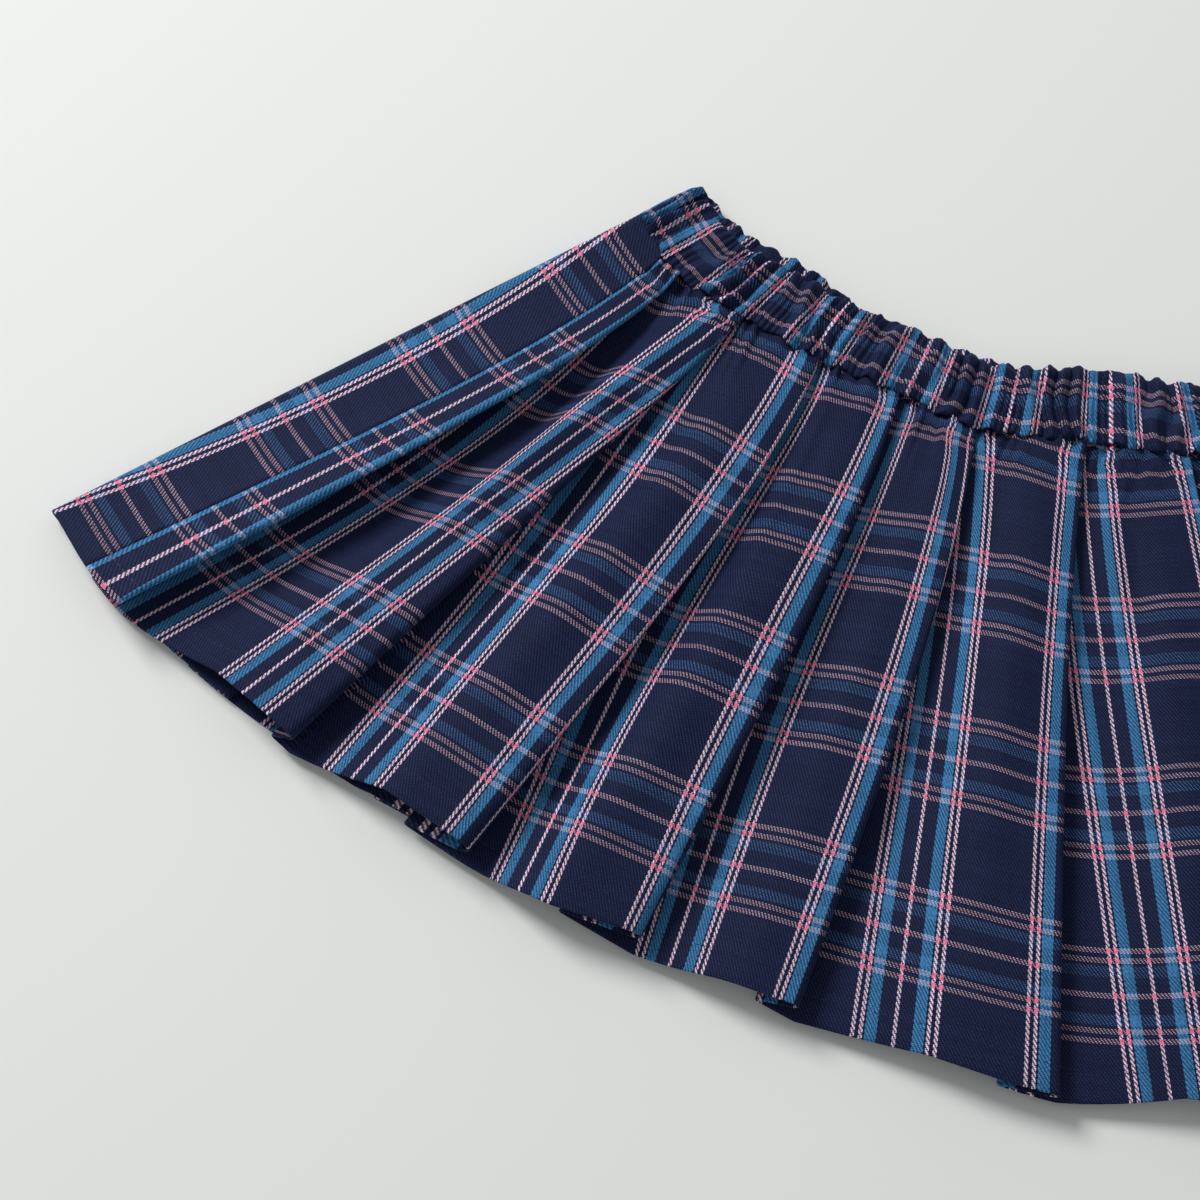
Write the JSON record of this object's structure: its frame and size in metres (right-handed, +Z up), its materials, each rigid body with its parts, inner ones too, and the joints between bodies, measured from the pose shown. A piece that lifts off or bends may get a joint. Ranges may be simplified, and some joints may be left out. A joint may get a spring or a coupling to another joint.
{
  "type": "pleated checked skirt",
  "caption": "Child's short school skirt laid flat: knife pleats fanned out under a gathered elastic waistband, in a dark woven check.",
  "frame": {"origin": "on the surface that the skirt lies on, under the middle of its outline", "axes": "+Z up out of the skirt's front, +Y from the hem to the waist, +X to the right as the front is looked at"},
  "size_m": [0.619, 0.315, 0.0212],
  "materials": {
    "check_cloth": "2/2 twill check in navy, blue and pale pink, soft and matt",
    "band_cloth": "the same twill check, gathered over elastic"
  },
  "bodies": {
    "root": {"front_panel": "check_cloth", "back_panel": "check_cloth", "waistband": "band_cloth"}
  },
  "joints": []
}
